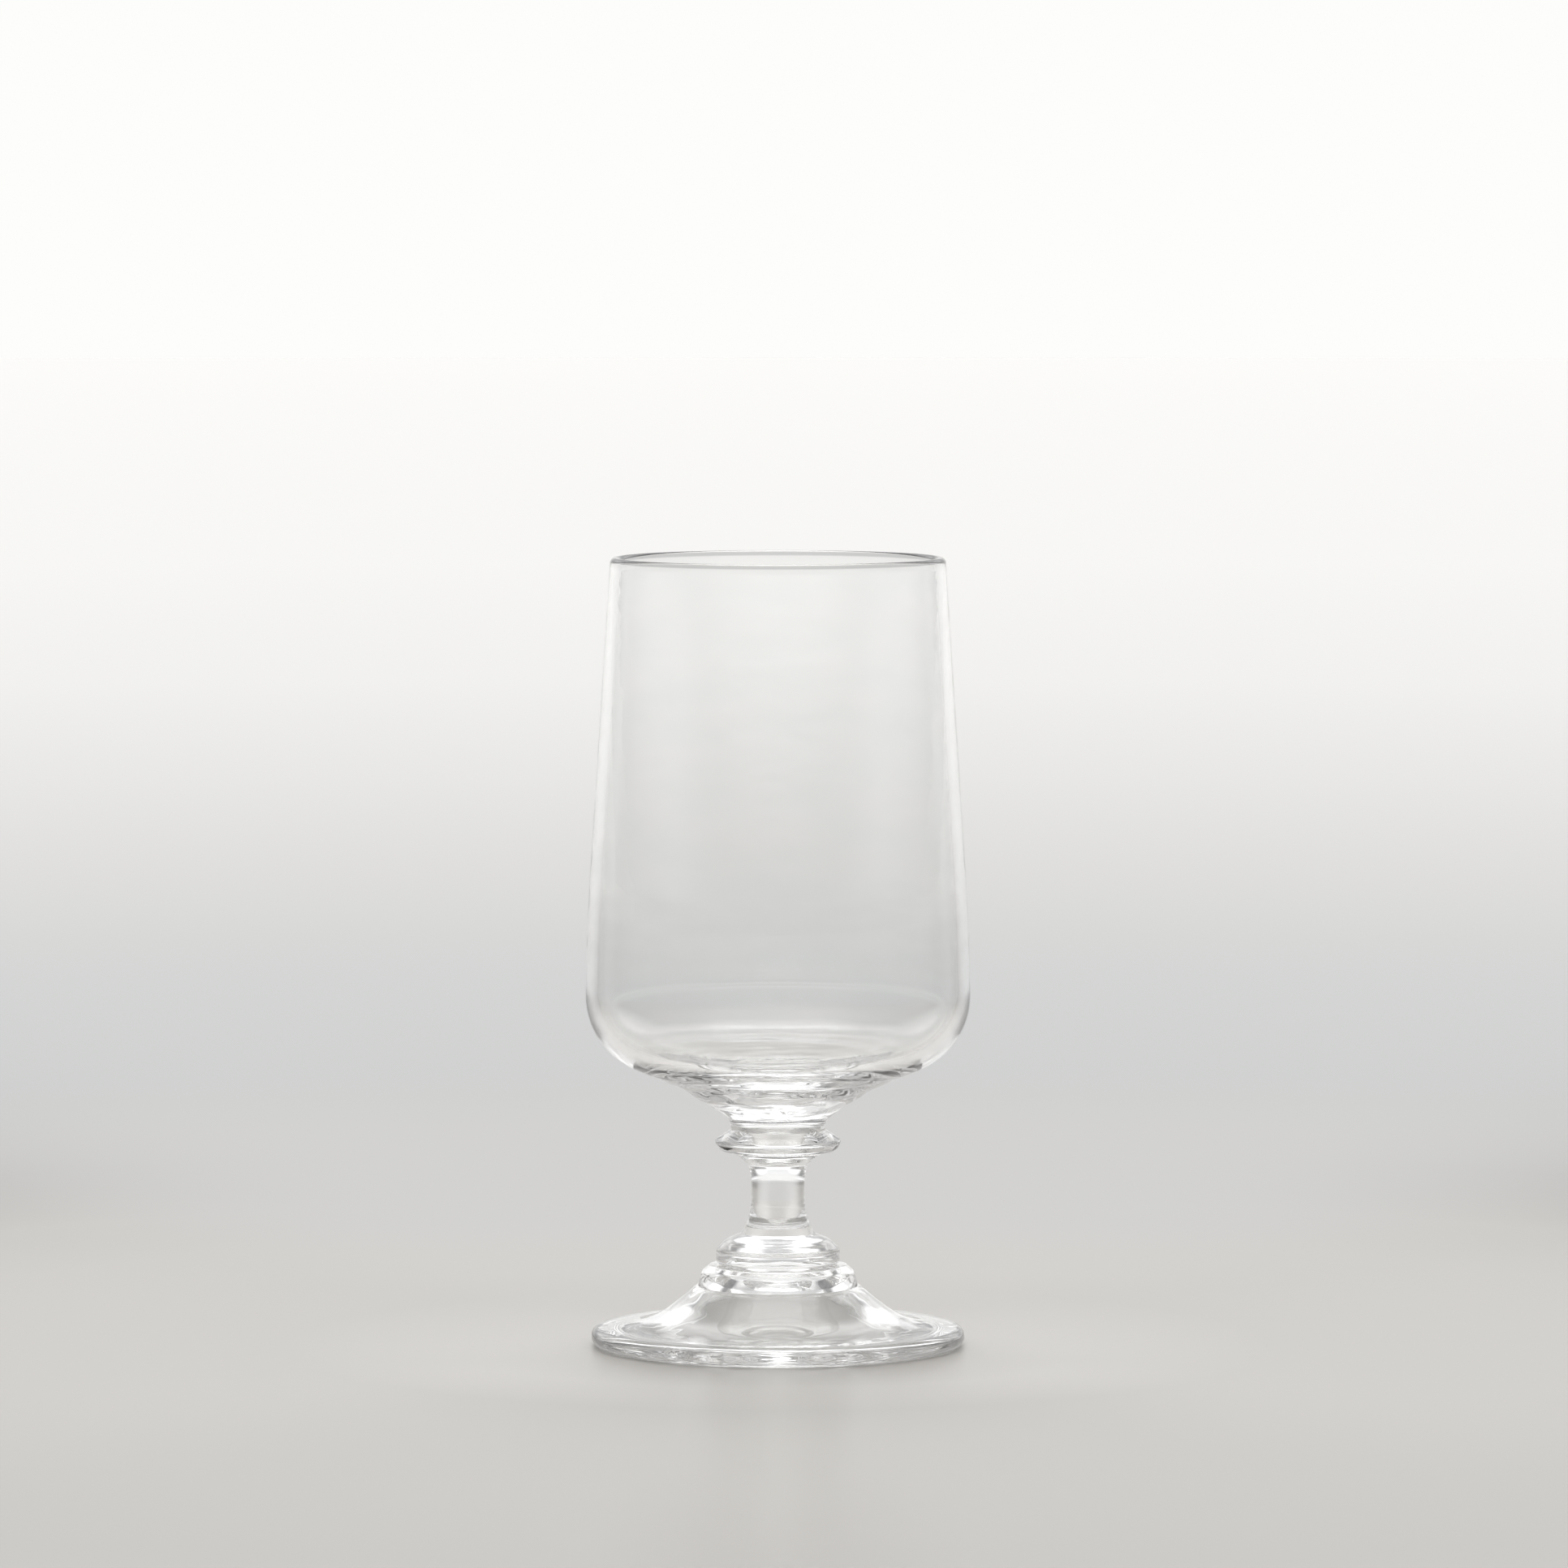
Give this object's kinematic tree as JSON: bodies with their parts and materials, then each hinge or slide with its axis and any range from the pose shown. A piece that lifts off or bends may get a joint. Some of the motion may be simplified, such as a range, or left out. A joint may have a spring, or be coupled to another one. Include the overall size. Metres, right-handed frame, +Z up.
{
  "type": "whisky glass",
  "caption": "Clear stemmed whisky glass: tapered bowl with a round belly and thick base on a merese, waisted stem, domed knop, stepped collar and bell foot.",
  "frame": {"origin": "centre of the resting ring under the foot, on the surface that the glass stands on", "axes": "+Z up along the axis of the glass, from the foot to the rim; +Y away from the viewer of the picture; +X to the viewer's right"},
  "size_m": [0.073, 0.073, 0.15],
  "materials": {
    "clear_glass": "clear, fire-polished, hand-worked"
  },
  "bodies": {
    "root": {"bowl": "clear_glass", "merese": "clear_glass", "stem": "clear_glass", "knop": "clear_glass", "foot_collar": "clear_glass", "foot": "clear_glass"}
  },
  "joints": []
}
